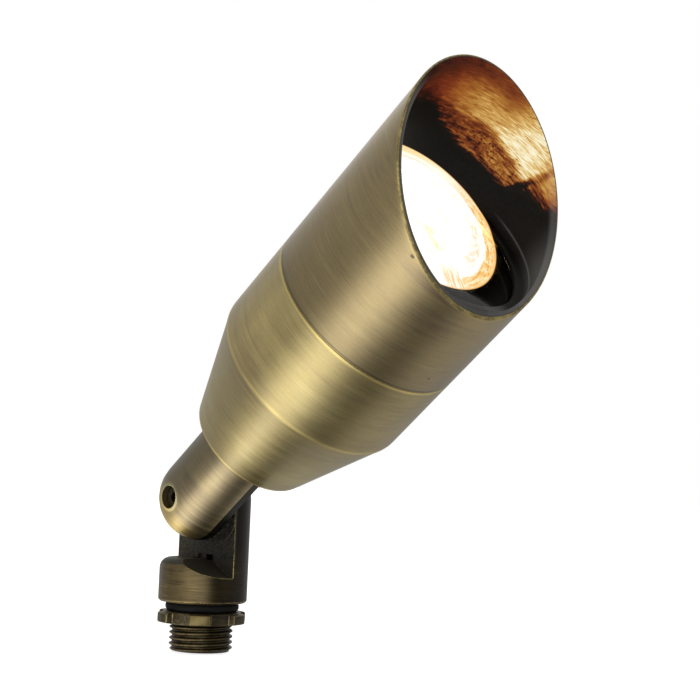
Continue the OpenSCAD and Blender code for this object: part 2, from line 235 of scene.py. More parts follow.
class Mat(Tree):
    """A material with one Principled shader."""

    def __init__(self, name, **principled):
        self.m = bpy.data.materials.new(name)
        self.m.use_nodes = True
        super().__init__(self.m.node_tree)
        self.t.nodes.clear()
        self.out = self.t.nodes.new("ShaderNodeOutputMaterial")
        self.bsdf = self.t.nodes.new("ShaderNodeBsdfPrincipled")
        self.t.links.new(self.bsdf.outputs[0], self.out.inputs[0])
        for k, v in principled.items():
            self.bsdf.inputs[k.replace("_", " ")].default_value = v

    def local(self, origin, ax, ay, az):
        """Object coordinates in mm in a turned frame: (vector, x, y, z)."""
        tc = self.node("TexCoord")
        rel = self.vec("SUBTRACT", tc.outputs["Object"], tuple(c * MM for c in origin))
        rel = self.vec("SCALE", rel, scale=1000.0)
        comb = self.node("CombineXYZ")
        outs = []
        for i, a in enumerate((ax, ay, az)):
            d = self.vec("DOT_PRODUCT", rel, tuple(a))
            self.t.links.new(d, comb.inputs[i])
            outs.append(d)
        return comb.outputs[0], outs[0], outs[1], outs[2]

    def bump(self, height, strength, distance, normal=None):
        n = self.node("Bump")
        n.inputs["Strength"].default_value = strength
        n.inputs["Distance"].default_value = distance
        self.put(n.inputs["Height"], height)
        if normal is not None:
            self.put(n.inputs["Normal"], normal)
        return n.outputs[0]

    def grain_along(self, axis):
        """Direction in which the gloss spreads: across brush marks that run round the axis."""
        vt = self.node("VectorTransform", vector_type="VECTOR", convert_from="OBJECT", convert_to="WORLD")
        self.put(vt.inputs[0], tuple(axis))
        return vt.outputs[0]

    def edge_wear(self, radius, lo, hi):
        """1 near sharp edges, 0 on open faces."""
        b = self.node("Bevel", samples=4)
        b.inputs["Radius"].default_value = radius * MM
        g = self.node("NewGeometry")
        d = self.vec("DOT_PRODUCT", b.outputs[0], g.outputs["Normal"])
        return self.step(self.math("SUBTRACT", 1.0, d), lo, hi), b.outputs[0]

    def set(self, **kw):
        for k, v in kw.items():
            self.put(self.bsdf.inputs[k.replace("_", " ")], v)
        return self.m


HEAD_ORIGIN = (0, ARM_Y, PIVOT_Z)
X1, Y1, Z1 = Vector((1, 0, 0)), Vector((0, 1, 0)), Vector((0, 0, 1))


def head_local(M):
    return M.local(HEAD_ORIGIN, AX_E, AX_Y, AX_H)


def base_local(M):
    return M.local((0, 0, 0), X1, Y1, Z1)


# ---------------------------------------------------------------------------
# materials
# ---------------------------------------------------------------------------


def brush_marks(M, v, k=1.0):
    """Streaks that are long round the local z axis and short along it, at three widths."""
    fine = M.noise(M.scaled(v, (0.16 * k, 0.16 * k, 6.5)), 1.0, 3.0, 0.65)
    mid = M.noise(M.scaled(v, (0.07 * k, 0.07 * k, 2.3)), 1.0, 3.0, 0.55)
    low = M.noise(M.scaled(v, (0.025 * k, 0.025 * k, 0.42)), 1.0, 2.0, 0.5)
    return fine, mid, low


def brass_turned(name, base, brown, gold, bands, edges=(), darks=(), nicks=(), rough=0.40, seed=0.0,
                 frame_of=head_local, axis=AX_H, extra=None):
    """Antiqued brass, brushed round an axis. bands are (place, tone) stops along the axis;
    edges and darks are (place, half width, strength) rings: worn bright ones and dark lines."""
    M = Mat(name, Metallic=1.0, Anisotropic=0.78)
    v, x, y, s = frame_of(M)
    off = M.vec("ADD", v, (seed, 3.1 * seed, 7.7 * seed))
    fine, mid, low = brush_marks(M, off)
    cloud = M.noise(off, 0.034, 3.0, 0.5)
    speck = M.noise(off, 2.6, 2.0, 0.6)
    # patina: between grey-brown and gold, by soft rings and clouds
    pat = M.add(M.mul(low, 0.30), M.mul(cloud, 0.56), M.mul(mid, 0.14))
    col = M.mix(M.step(pat, 0.50, 0.37), base, brown)
    col = M.mix(M.step(pat, 0.51, 0.64), col, gold)
    # brush marks
    tone = M.add(M.mul(fine, 0.48), M.mul(mid, 0.28), M.mul(speck, 0.24))
    col = M.mix(1.0, col, M.ramp(tone, [(0.36, 0.80), (0.50, 1.0), (0.64, 1.15)]), "MULTIPLY")
    if bands:
        col = M.mix(1.0, col, M.curve(s, bands), "MULTIPLY")
    rgh = M.add(M.mul(M.math("SUBTRACT", mid, 0.5), 0.30), M.mul(M.math("SUBTRACT", low, 0.5), 0.16), rough)
    if extra:
        col, rgh = extra(M, v, x, y, s, col, rgh)
    for at, half, k in darks:
        col = M.mix(M.mul(M.bell(s, at, half * 1.6), k), col, (0.030, 0.023, 0.013))
    worn = None
    for at, half, k in edges:
        b = M.mul(M.bell(s, at, half * 1.6), k)
        worn = b if worn is None else M.math("MAXIMUM", worn, b)
    if worn is not None:
        wob = M.step(M.noise(M.scaled(off, (0.15, 0.15, 1.0)), 1.0, 2.0), 0.30, 0.62)
        worn = M.mul(worn, M.mixf(wob, 0.62, 1.0))
        col = M.mix(worn, col, (0.90, 0.72, 0.26))
        rgh = M.mixf(worn, rgh, 0.50)
    # small dark nicks at given places, (x, y, s, radius)
    for nx, ny, ns, nr in nicks:
        d = M.vec("DISTANCE", M.scaled(v, (1, 1, 1.6)), (nx, ny, ns * 1.6))
        wob = M.add(d, M.mul(M.math("SUBTRACT", speck, 0.5), nr * 1.2))
        col = M.mix(M.mul(M.step(wob, nr, nr * 0.45), 0.8), col, (0.035, 0.028, 0.020))
    h = M.add(M.mul(fine, 0.7), M.mul(mid, 0.4), M.mul(speck, 0.25))
    M.set(Base_Color=col, Roughness=rgh, Normal=M.bump(h, 0.10, 0.00006), Tangent=M.grain_along(axis))
    return M


def cast_brass(name, base, brown, gold, rough=0.42, wear=0.8, wear_radius=0.45, frame_of=base_local, axis=Z1,
               aniso=0.55, seed=0.0, extra=None, calm=None):
    """Dark patinated brass with brushed sides and edges that are rubbed bright."""
    M = Mat(name, Metallic=1.0, Anisotropic=aniso)
    v, x, y, z = frame_of(M)
    off = M.vec("ADD", v, (seed, 2.3 * seed, 5.1 * seed))
    fine, mid, low = brush_marks(M, off, 1.6)
    cloud = M.noise(off, 0.10, 3.0, 0.55)
    grit = M.noise(off, 1.7, 3.0, 0.6)
    pat = M.add(M.mul(cloud, 0.5), M.mul(low, 0.2), M.mul(mid, 0.3))
    col = M.mix(M.step(pat, 0.50, 0.36), base, brown)
    col = M.mix(M.step(pat, 0.52, 0.66), col, gold)
    tone = M.add(M.mul(fine, 0.4), M.mul(mid, 0.35), M.mul(grit, 0.25))
    col = M.mix(1.0, col, M.ramp(tone, [(0.36, 0.72), (0.50, 1.0), (0.64, 1.25)]), "MULTIPLY")
    rgh = M.add(M.mul(M.math("SUBTRACT", grit, 0.5), 0.35), rough)
    if extra:
        col, rgh = extra(M, v, x, y, z, col, rgh)
    normal = None
    if wear:
        mask, normal = M.edge_wear(wear_radius, 0.008, 0.07)
        mask = M.mul(mask, M.step(M.noise(off, 0.45, 3.0, 0.6), 0.26, 0.58), wear)
        if calm:
            mask = M.mul(mask, calm(M, x, y, z))
        col = M.mix(mask, col, (0.62, 0.48, 0.20))
        rgh = M.mixf(mask, rgh, 0.42)
    h = M.add(M.mul(fine, 0.5), M.mul(grit, 0.6))
    M.set(Base_Color=col, Roughness=rgh, Normal=M.bump(h, 0.16, 0.00007, normal), Tangent=M.grain_along(axis))
    return M


def simple(name, color, rough, metallic=0.0, grain=0.0, bump=0.0, scale=1.1, **kw):
    M = Mat(name, Metallic=metallic)
    v, x, y, z = base_local(M)
    n = M.noise(v, scale, 4.0, 0.6)
    n2 = M.noise(v, scale * 0.25, 3.0, 0.6)
    lo = tuple(c * (1 - grain) for c in color)
    hi = tuple(min(1.0, c * (1 + grain)) for c in color)
    col = M.ramp(M.add(M.mul(n, 0.5), M.mul(n2, 0.5)), [(0.35, lo), (0.65, hi)])
    M.set(Base_Color=col, Roughness=M.mixf(n, rough - 0.05, rough + 0.08), Normal=M.bump(n, bump, 0.0001))
    for k, val in kw.items():
        M.put(M.bsdf.inputs[k.replace("_", " ")], val)
    return M.m


# The lamp's light as it falls through the lens: a round pool whose place is
# read off along the light's own slant, so lens, shoulder and wall share it.
GLOW_A, GLOW_B, GLOW_R = 0.25, -7.97, 28.71
SLANT_A, SLANT_B = 1.343, -0.976


def glow_place(M, x, y, s):
    """(a, b, depth inside the pool's edge, angle) of a point of the head, in mm and radians."""
    ds = M.math("SUBTRACT", s, LENS_FRONT)
    a = M.math("SUBTRACT", M.add(y, M.mul(ds, SLANT_A)), GLOW_A)
    b = M.math("SUBTRACT", M.add(x, M.mul(ds, SLANT_B)), GLOW_B)
    rho = M.math("SQRT", M.add(M.mul(a, a), M.mul(b, b)))
    th = M.math("ARCTAN2", b, a)
    edge = M.math("SUBTRACT", GLOW_R, M.mul(M.math("SINE", M.mul(th, 2.0)), 2.7))
    return a, b, M.math("SUBTRACT", edge, rho), th


def glow_color(M, a, b, d, th):
    """Colour and strength of the lit pool: white-hot, with amber streaks along its lower right edge."""
    comb = M.node("CombineXYZ")
    for i, q in enumerate((a, b, 0.0)):
        M.put(comb.inputs[i], q)
    p = comb.outputs[0]
    polar = M.node("CombineXYZ")
    M.put(polar.inputs[0], M.mul(th, 5.0))
    M.put(polar.inputs[1], M.mul(d, 1.15))
    streak = M.noise(polar.outputs[0], 1.0, 4.0, 0.62, 0.6)
    mott = M.noise(p, 0.85, 4.0, 0.65, 0.8)
    big = M.noise(p, 0.16, 3.0, 0.55)
    white = (1.22, 1.20, 1.14)
    # crescent: outer amber band, white line, peach band
    side = M.mul(M.step(th, -1.05, -0.2), M.step(th, 1.85, 1.40))
    wob = M.add(d, M.mul(M.math("SUBTRACT", streak, 0.5), 2.4))
    outer = M.mul(M.step(wob, 4.9, 3.8), side)
    peach = M.mul(M.band(wob, 5.9, 9.6, 1.4), side, M.step(th, 1.40, 1.00), M.step(M.add(M.mul(mott, 0.5), M.mul(streak, 0.5)), 0.40, 0.58))
    amber = M.ramp(M.add(M.mul(streak, 0.6), M.mul(mott, 0.4)), [
        (0.34, (0.58, 0.17, 0.028)), (0.43, (0.90, 0.43, 0.09)), (0.51, (1.0, 0.68, 0.24)), (0.60, (1.02, 0.94, 0.66))])
    col = M.mix(M.mul(outer, 0.95), white, amber)
    col = M.mix(M.mul(peach, 0.88), col, (0.96, 0.66, 0.40))
    # thin warm line right at the pool's edge
    col = M.mix(M.mul(M.step(d, 0.9, 0.2), 0.8), col, (1.0, 0.50, 0.13))
    upper = M.step(th, -0.5, -1.2)
    col = M.mix(M.mul(M.band(d, 0.0, 2.4, 0.9), upper, 0.85), col, (1.0, 0.70, 0.27))
    col = M.mix(M.mul(M.band(M.add(d, M.mul(mott, 1.6)), 3.8, 5.2, 0.8), upper, 0.60), col, (0.86, 0.62, 0.42))
    # streaks at the pool's bottom and soft smudges in its middle
    fan = M.node("CombineXYZ")
    M.put(fan.inputs[0], M.add(M.mul(a, 1.1), M.mul(b, 0.25)))
    M.put(fan.inputs[1], M.mul(b, 0.14))
    fans = M.noise(fan.outputs[0], 0.9, 4.0, 0.6, 0.3)
    low = M.mul(M.band(a, -8.0, 0.8, 1.6), M.step(b, 15.0, 26.0), M.step(fans, 0.40, 0.54))
    col = M.mix(M.mul(low, 0.9), col, (0.93, 0.56, 0.22))
    smudge = M.mul(M.band(a, -4.6, -0.4, 1.4), M.band(b, 4.4, 14.0, 2.5), M.step(M.add(M.mul(fans, 0.6), M.mul(mott, 0.4)), 0.38, 0.52))
    col = M.mix(smudge, col, (0.98, 0.74, 0.34))
    faint = M.mul(M.step(big, 0.52, 0.64), M.step(mott, 0.45, 0.62), M.step(d, 5.0, 9.0))
    col = M.mix(M.mul(faint, 0.85), col, (1.0, 0.86, 0.55))
    return col


def lens_glass():
    """The clear lens with the lamp's light lying in its front face."""
    M = Mat("lens_lit", Roughness=0.06, IOR=1.47, Transmission_Weight=1.0)
    v, x, y, s = head_local(M)
    a, b, d, th = glow_place(M, x, y, s)
    lit = glow_color(M, a, b, d, th)
    # painted shade: the lit pool greys towards the near wall
    fade = M.mul(M.step(a, -8.0, -16.0), M.step(b, 4.0, 16.0))
    lit = M.mix(M.mul(fade, 0.35), lit, (0.80, 0.79, 0.74))
    geo = M.node("NewGeometry")
    face = M.mul(M.step(s, LENS_FRONT - 0.12, LENS_FRONT - 0.04), M.math("SUBTRACT", 1.0, geo.outputs["Backfacing"]))
    mask = M.mul(M.step(d, -0.12, 0.22), face)
    swirl = M.noise(v, 0.35, 3.0, 0.6, 1.5)
    dust = M.noise(v, 2.2, 3.0, 0.6)
    clear_part = M.mix(swirl, (0.92, 0.95, 0.94), (0.97, 0.98, 0.97))
    # painted shade: outside the pool the lens is coloured near black
    M.set(Base_Color=M.mix(M.step(d, 0.0, -1.2), clear_part, (0.055, 0.054, 0.050)),
          Normal=M.bump(M.add(swirl, M.mul(dust, 0.1)), 0.05, 0.0002),
          Emission_Color=lit, Emission_Strength=mask)
    return M.m


def wall_patina_glow(M, ang, s, v):
    """Painted lamp light, as emission, on the heat patina of the hood's far side: (colour, amount)."""
    streaks = M.noise(M.scaled(v, (0.26, 0.26, 4.2)), 1.0, 5.0, 0.68)
    coarse = M.noise(M.scaled(v, (0.20, 0.20, 0.85)), 1.0, 5.0, 0.62, 0.6)
    mottle = M.noise(v, 0.75, 4.0, 0.65, 0.4)
    lo = M.curve(ang, [(-60, 161.0), (-46, 158.6), (-27, 155.0), (-8, 153.2), (1, 150.5), (8, 147.0),
                       (22, 144.0), (38, 142.3), (62, 141.4), (69, 143.0), (75, 146.2), (90, 147.0), (101, 149.5),
                       (115, 152.0)], False)
    up = M.curve(ang, [(-60, 164.0), (-40, 160.5), (-20, 157.5), (0, 154.8), (8, 153.4), (20, 152.6), (40, 152.4),
                       (56, 150.6), (70, 147.8), (78, 150.2), (92, 151.0), (104, 152.5), (115, 154.0)], False)
    wob = M.add(M.mul(M.math("SUBTRACT", coarse, 0.5), 5.5), M.mul(M.math("SUBTRACT", streaks, 0.5), 3.2))
    dl = M.add(M.math("SUBTRACT", s, lo), wob)
    du = M.add(M.math("SUBTRACT", s, up), wob)
    along = M.curve(ang, [(-60, 0.02), (-50, 0.05), (-38, 0.12), (-20, 0.15), (-8, 0.21), (4, 0.37), (14, 0.50),
                          (30, 0.64), (40, 0.74), (47, 0.88), (54, 1.0), (62, 0.98), (68, 0.90), (74, 0.74),
                          (77.5, 0.50), (82, 0.62), (90, 0.55), (98, 0.28), (105, 0.03), (112, 0.0)])
    low_zone = M.mul(M.step(dl, 0.0, 2.6), M.add(0.36, M.mul(M.math("SUBTRACT", mottle, 0.5), 0.9),
                                                 M.mul(M.math("SUBTRACT", coarse, 0.5), 1.25)))
    zone = M.math("MAXIMUM", low_zone, M.step(du, -3.4, 3.0))
    lip = M.math("SUBTRACT", s, M.add(MOUTH_S - 3.0, M.mul(19.1, M.math("COSINE", M.mul(M.math("SUBTRACT", ang, 5.5),
                                                                                        math.pi / 180)))))
    # painted shade: near the mouth the painted lamp light on the wall is dimmed
    near = M.step(lip, -10.0, 2.6)
    dusk = M.mul(near, near, M.step(ang, 68.0, 30.0), M.mixf(M.step(ang, 12.0, -20.0), 0.66, 0.38))
    heat_glow = M.mul(along, zone, M.math("SUBTRACT", 1.0, dusk))
    grain = M.add(1.0, M.mul(M.math("SUBTRACT", streaks, 0.5), 1.75), M.mul(M.math("SUBTRACT", coarse, 0.5), 1.15))
    heat_glow = M.mul(heat_glow, grain, 0.98)
    # slanted dark seam and a group of small pits
    seam_at = M.add(66.2, M.mul(M.math("SUBTRACT", s, 141.6), 0.83))
    sd = M.math("ABSOLUTE", M.math("SUBTRACT", M.add(ang, M.mul(M.math("SUBTRACT", mottle, 0.5), 4.0)), seam_at))
    seam = M.mul(M.step(sd, 3.6, 0.6), M.band(s, 141.0, 155.5, 1.2))
    heat_glow = M.math("SUBTRACT", heat_glow, M.mul(seam, M.mixf(M.step(s, 153.0, 144.0), 0.26, 0.62)))
    pits = M.mul(M.spots(M.scaled(v, (0.75, 0.75, 0.75)), 1.0, 0.12, 0.34), M.band(ang, 26.0, 48.0, 4.0),
                 M.band(s, 144.5, 150.5, 1.2))
    few = M.mul(M.spots(M.scaled(v, (0.8, 0.8, 0.8)), 1.0, 0.08, 0.20), M.band(ang, 48.0, 64.0, 4.0))
    heat_glow = M.math("SUBTRACT", heat_glow, M.add(M.mul(pits, 0.36), M.mul(few, 0.20)))
    col = M.ramp(heat_glow, [
        (0.00, (0.003, 0.002, 0.001)), (0.07, (0.022, 0.003, 0.001)), (0.16, (0.110, 0.019, 0.005)),
        (0.27, (0.215, 0.050, 0.009)), (0.42, (0.345, 0.125, 0.020)), (0.57, (0.500, 0.245, 0.050)),
        (0.73, (0.700, 0.440, 0.135)), (0.87, (0.870, 0.700, 0.350)), (1.02, (0.960, 0.890, 0.640))])
    col = M.mix(M.step(ang, 16.0, -14.0), col, M.mix(1.0, col, (1.0, 0.74, 0.72), "MULTIPLY"))
    return col, M.step(dl, -1.4, 1.2), streaks, mottle


def hood_inside(name="hood_inside"):
    """Blackened bore of the hood: charcoal and turning marks, with painted lamp light as emission on the heat patina of
    the far wall and on the shoulder.
    """
    M = Mat(name, Roughness=0.5)
    v, x, y, s = head_local(M)
    ang = M.mul(M.math("ARCTAN2", y, M.mul(x, -1.0)), 180 / math.pi)
    col, amount, streaks, mottle = wall_patina_glow(M, ang, s, v)
    a, b, d, th = glow_place(M, x, y, s)
    lit = glow_color(M, a, b, d, th)
    pool = M.mul(M.step(d, -0.15, 0.25), M.step(s, 140.0, 138.0), M.band(ang, -45.0, 95.0, 6.0))
    emit = M.mix(amount, (0.0, 0.0, 0.0), col)
    # painted reflections: soft grey by the low side of the mouth, and painted highlight lines on the ledge and lip
    grey = M.mul(M.step(ang, 96.0, 128.0), M.step(s, 128.0, 138.0), 0.046)
    grey2 = M.mul(M.step(ang, -34.0, -58.0), M.step(s, 128.0, 150.0), 0.028)
    line = M.mul(M.bell(s, 134.1, 0.6), M.band(ang, 76.0, 150.0, 10.0), 0.040)
    lip = M.mul(M.bell(M.math("SUBTRACT", s, M.add(MOUTH_S, M.mul(19.1, M.math("COSINE", M.mul(M.math(
        "SUBTRACT", ang, 5.5), math.pi / 180))))), -0.6, 2.4), M.math("MAXIMUM", M.step(ang, 58.0, 88.0), M.step(
            ang, -34.0, -58.0)), 0.05)
    g = M.add(grey, grey2, line, lip)
    gcol = M.node("CombineColor")
    for i, k in enumerate((1.0, 0.98, 0.93)):
        M.put(gcol.inputs[i], M.mul(g, k))
    emit = M.mix(1.0, emit, gcol.outputs[0], "ADD")
    emit = M.mix(pool, emit, lit)
    base = M.ramp(M.add(M.mul(streaks, 0.6), M.mul(mottle, 0.4)), [
        (0.35, (0.0035, 0.0030, 0.0026)), (0.65, (0.0100, 0.0090, 0.0078))])
    M.set(Base_Color=base, Roughness=M.mixf(mottle, 0.40, 0.58),
          Normal=M.bump(M.add(M.mul(streaks, 0.8), M.mul(mottle, 0.5)), 0.25, 0.00010),
          Emission_Color=emit, Emission_Strength=1.0)
    M.bsdf.inputs["Specular IOR Level"].default_value = 0.06
    return M.m


def rim_dark():
    """Blackened face of the mouth, rubbed a little lighter."""
    M = Mat("rim_dark", Metallic=0.4)
    v, x, y, s = head_local(M)
    n = M.noise(v, 0.8, 4.0, 0.6)
    w = M.noise(v, 0.09, 3.0, 0.5)
    col = M.ramp(M.add(M.mul(n, 0.45), M.mul(w, 0.55)), [(0.35, (0.030, 0.028, 0.024)), (0.65, (0.095, 0.088, 0.074))])
    M.set(Base_Color=col, Roughness=M.mixf(n, 0.38, 0.52), Normal=M.bump(n, 0.2, 0.00008))
    return M.m


def worn_gold(name="worn_gold", frame_of=head_local, color=(0.52, 0.42, 0.17), dim=(0.26, 0.20, 0.09)):
    """Edge rubbed through to bright brass."""
    M = Mat(name, Metallic=1.0)
    v, x, y, s = frame_of(M)
    n = M.noise(v, 0.9, 4.0, 0.6)
    w = M.noise(v, 0.13, 3.0, 0.55)
    col = M.mix(M.step(M.add(M.mul(n, 0.5), M.mul(w, 0.5)), 0.40, 0.60), dim, color)
    M.set(Base_Color=col, Roughness=M.mixf(n, 0.40, 0.55), Normal=M.bump(n, 0.1, 0.00005))
    return M.m


MATS = {}


def paint(obj, mat):
    obj.data.materials.clear()
    obj.data.materials.append(mat)


# ---------------------------------------------------------------------------
# mesh helpers
# ---------------------------------------------------------------------------


def finish_mesh(name, bm, mat, body, node=None, smooth=35, matrix=None):
    me = bpy.data.meshes.new(name)
    bmesh.ops.recalc_face_normals(bm, faces=bm.faces)
    if matrix is not None:
        bmesh.ops.transform(bm, matrix=matrix, verts=bm.verts)
    bm.to_mesh(me)
    bm.free()
    for p in me.polygons:
        p.use_smooth = True
    me.set_sharp_from_angle(angle=math.radians(smooth))
    ob = bpy.data.objects.new(name, me)
    scene.collection.objects.link(ob)
    for m in (mat if isinstance(mat, (list, tuple)) else [mat]):
        me.materials.append(m)
    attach(ob, body)
    if node:
        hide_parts(*([node] if isinstance(node, str) else node))
    return ob


def rounded(points, radii, n=4):
    """Closed profile whose corners get the given radius, as (r, s) points."""
    out = []
    k = len(points)
    for i, (p, rad) in enumerate(zip(points, radii)):
        p = Vector(p)
        if rad <= 0:
            out.append(tuple(p))
            continue
        a = Vector(points[(i - 1) % k]) - p
        b = Vector(points[(i + 1) % k]) - p
        d = min(rad / math.tan(a.angle(b) / 2), a.length * 0.45, b.length * 0.45)
        p0 = p + a.normalized() * d
        p1 = p + b.normalized() * d
        for j in range(n + 1):
            t = j / n
            q = p0 * (1 - t) ** 2 + p * (2 * t * (1 - t)) + p1 * t ** 2
            out.append((q.x, q.y))
    return out


def skin_rings(bm, rings, closed, slots=None):
    """Faces between rings of vertices; slots gives a material number for every band."""
    pairs = list(zip(rings, rings[1:]))
    if closed:
        pairs.append((rings[-1], rings[0]))
    for k, (a, b) in enumerate(pairs):
        if len(a) == 1 and len(b) == 1:
            continue
        segs = max(len(a), len(b))
        for i in range(segs):
            j = (i + 1) % segs
            if len(a) == 1:
                f = bm.faces.new((a[0], b[i], b[j]))
            elif len(b) == 1:
                f = bm.faces.new((a[i], b[0], a[j]))
            else:
                f = bm.faces.new((a[i], b[i], b[j], a[j]))
            if slots:
                f.material_index = slots[k]


def lathe_bm(profile, segs=192, closed=True, slots=None, bm=None):
    """Revolves (r, s) points in mm round the local z axis; s may be a function of the angle."""
    bm = bm or bmesh.new()
    rings = []
    for r, s in profile:
        if not callable(r) and r < 1e-6:
            rings.append([bm.verts.new((0, 0, s * MM))])
            continue
        ring = []
        for i in range(segs):
            t = 2 * math.pi * i / segs
            rr = r(t) if callable(r) else r
            ss = s(t) if callable(s) else s
            ring.append(bm.verts.new((rr * MM * math.cos(t), rr * MM * math.sin(t), ss * MM)))
        rings.append(ring)
    skin_rings(bm, rings, closed, slots)
    return bm


def thread_rows(root, crest, z0, z1, pitch, phase, step=0.09, lead=1.2, hand=1.0, flat=0.16):
    """(r, z) rows of a helical thread on a cylinder; r depends on the angle."""
    rows = []
    n = int(round((z1 - z0) / step))
    for k in range(n + 1):
        z = z0 + (z1 - z0) * k / n
        fade = min(1.0, (z - z0) / lead, (z1 - z) / lead)
        fade = max(0.0, fade) ** 0.6

        def radius(t, z=z, fade=fade):
            u = ((z - phase) / pitch - hand * t / (2 * math.pi)) % 1.0
            h = abs(2 * u - 1.0)
            h = min(1.0, max(0.0, (h - flat) / (1.0 - 2 * flat)))
            h = h * h * (3 - 2 * h) * 0.35 + h * 0.65
            return root + (crest - root) * h * fade
        rows.append((radius, z))
    return rows


def add_tube(bm, rows, segs):
    rings = []
    for r, z in rows:
        rings.append([bm.verts.new(((r(2 * math.pi * i / segs) if callable(r) else r) * MM * math.cos(2 * math.pi * i / segs),
                                    (r(2 * math.pi * i / segs) if callable(r) else r) * MM * math.sin(2 * math.pi * i / segs),
                                    z * MM)) for i in range(segs)])
    for a, b in zip(rings, rings[1:]):
        for i in range(segs):
            j = (i + 1) % segs
            bm.faces.new((a[i], a[j], b[j], b[i]))
    return rings


# ---------------------------------------------------------------------------
# camera, light, floor
# ---------------------------------------------------------------------------

cam_data = bpy.data.cameras.new("camera")
cam = bpy.data.objects.new("camera", cam_data)
scene.collection.objects.link(cam)
cam_data.sensor_width = 36.0
cam_data.lens = 1525.8 / 700.0 * 36.0
cam_data.clip_start = 0.01
cam_data.clip_end = 20.0
cam.matrix_world = Matrix((
    (RIGHT.x, UP.x, BACK.x, CAM.x),
    (RIGHT.y, UP.y, BACK.y, CAM.y),
    (RIGHT.z, UP.z, BACK.z, CAM.z),
    (0, 0, 0, 1)))
scene.camera = cam

scene.view_settings.view_transform = "Standard"
scene.view_settings.look = "None"

# A studio with one long soft strip and large dim sides, laid out round the head's axis,
# before a white backdrop.
world = bpy.data.worlds.new("studio")
scene.world = world
world.use_nodes = True
W = Tree(world.node_tree)
W.t.nodes.clear()
wout = W.t.nodes.new("ShaderNodeOutputWorld")
direction = W.node("TexCoord").outputs["Generated"]
STRIP = (0.362, -0.809, -0.463)
ACROSS = (-0.498, -0.588, 0.637)
phi = W.math("ARCTAN2", W.vec("DOT_PRODUCT", direction, ACROSS), W.vec("DOT_PRODUCT", direction, STRIP))
phi = W.mul(phi, 180 / math.pi)
level = W.curve(phi, [
    (-180, 0.60), (-168, 0.42), (-156, 0.34), (-138, 0.38), (-118, 0.50), (-90, 0.54), (-76, 0.40), (-64, 0.19),
    (-50, 0.17), (-34, 0.34), (-20, 1.05), (-6, 1.88), (8, 2.0), (20, 1.45), (32, 0.72), (46, 0.44), (60, 0.42),
    (90, 0.44), (118, 0.48), (138, 0.60), (156, 0.74), (170, 0.85), (180, 0.60)])
along = W.vec("DOT_PRODUCT", direction, tuple(AX_H))
level = W.mixf(W.step(along, 0.80, 0.98), level, 0.50)
level = W.mixf(W.step(along, -0.975, -1.0), level, 0.80)
level = W.mul(level, W.mixf(W.mul(W.step(along, -0.38, -0.60), W.step(phi, 122.0, 150.0)), 1.0, 0.58))
wcol = W.node("CombineColor")
for i, k in enumerate((1.0, 0.985, 0.955)):
    W.put(wcol.inputs[i], W.mul(level, k))
studio_bg = W.node("Background")
W.put(studio_bg.inputs["Color"], wcol.outputs[0])
backdrop = W.node("Background")
W.put(backdrop.inputs["Color"], (1.0, 1.0, 1.0))
pick = W.node("MixShader")
W.put(pick.inputs[0], W.node("LightPath").outputs["Is Camera Ray"])
W.t.links.new(studio_bg.outputs[0], pick.inputs[1])
W.t.links.new(backdrop.outputs[0], pick.inputs[2])
W.t.links.new(pick.outputs[0], wout.inputs["Surface"])

floor_me = bpy.data.meshes.new("floor")
fb = bmesh.new()
bmesh.ops.create_grid(fb, x_segments=1, y_segments=1, size=3.0)
fb.to_mesh(floor_me)
fb.free()
floor = bpy.data.objects.new("floor", floor_me)
scene.collection.objects.link(floor)
floor.location = (0, 0, -0.0005)
floor.visible_glossy = False
floor.visible_diffuse = False
floor.visible_transmission = False
floor.visible_shadow = False
F = Mat("floor_paper", Roughness=0.9)
fv, fx, fy, fz = base_local(F)
F.set(Base_Color=F.ramp(F.noise(fv, 0.02, 2.0), [(0.3, (0.90, 0.90, 0.90)), (0.7, (0.95, 0.95, 0.95))]),
      Emission_Color=(1.0, 1.0, 1.0), Emission_Strength=0.82)
floor_me.materials.append(F.m)

# ---------------------------------------------------------------------------
# brass
# ---------------------------------------------------------------------------


def mouth_gap(M, x, y, s):
    """Distance below the plane of the mouth, in mm."""
    m = M.add(MOUTH_S, M.mul(x, -MOUTH_K * math.cos(MOUTH_TURN)), M.mul(y, MOUTH_K * math.sin(MOUTH_TURN)))
    return M.math("SUBTRACT", m, s)


def hood_extra(M, v, x, y, s, col, rgh):
    g = mouth_gap(M, x, y, s)
    wob = M.noise(M.scaled(v, (0.3, 0.3, 0.3)), 1.0, 3.0)
    w = M.mul(M.step(g, 1.5, 0.2), M.mixf(M.step(wob, 0.35, 0.6), 0.55, 0.9))
    return M.mix(w, col, (0.62, 0.50, 0.20)), M.mixf(w, rgh, 0.48)


def coat(M, weight=0.65, rough=0.22):
    M.bsdf.inputs["Coat Weight"].default_value = weight
    M.bsdf.inputs["Coat Roughness"].default_value = rough
    return M.m


def housing_side_light(M, v, x, y, s, col, rgh):
    # painted light and shade: the colour is lightened and darkened round the axis, by how the light falls
    up = M.add(M.mul(x, 0.588), M.mul(y, -0.809))
    side = M.add(M.mul(x, -0.809), M.mul(y, -0.588))
    turn = M.mul(M.math("ARCTAN2", side, up), 180 / math.pi)
    k = M.curve(turn, [(-180, 1.0), (-70, 1.0), (-34, 0.86), (-16, 0.88), (-4, 1.0), (8, 1.08), (20, 1.12), (30, 1.36),
                       (42, 1.46), (54, 1.22), (68, 1.05), (90, 1.0), (180, 1.0)])
    k = M.mixf(M.step(s, 66.0, 69.0), 1.0, k)
    out = M.mix(1.0, col, k, "MULTIPLY")
    return out, rgh


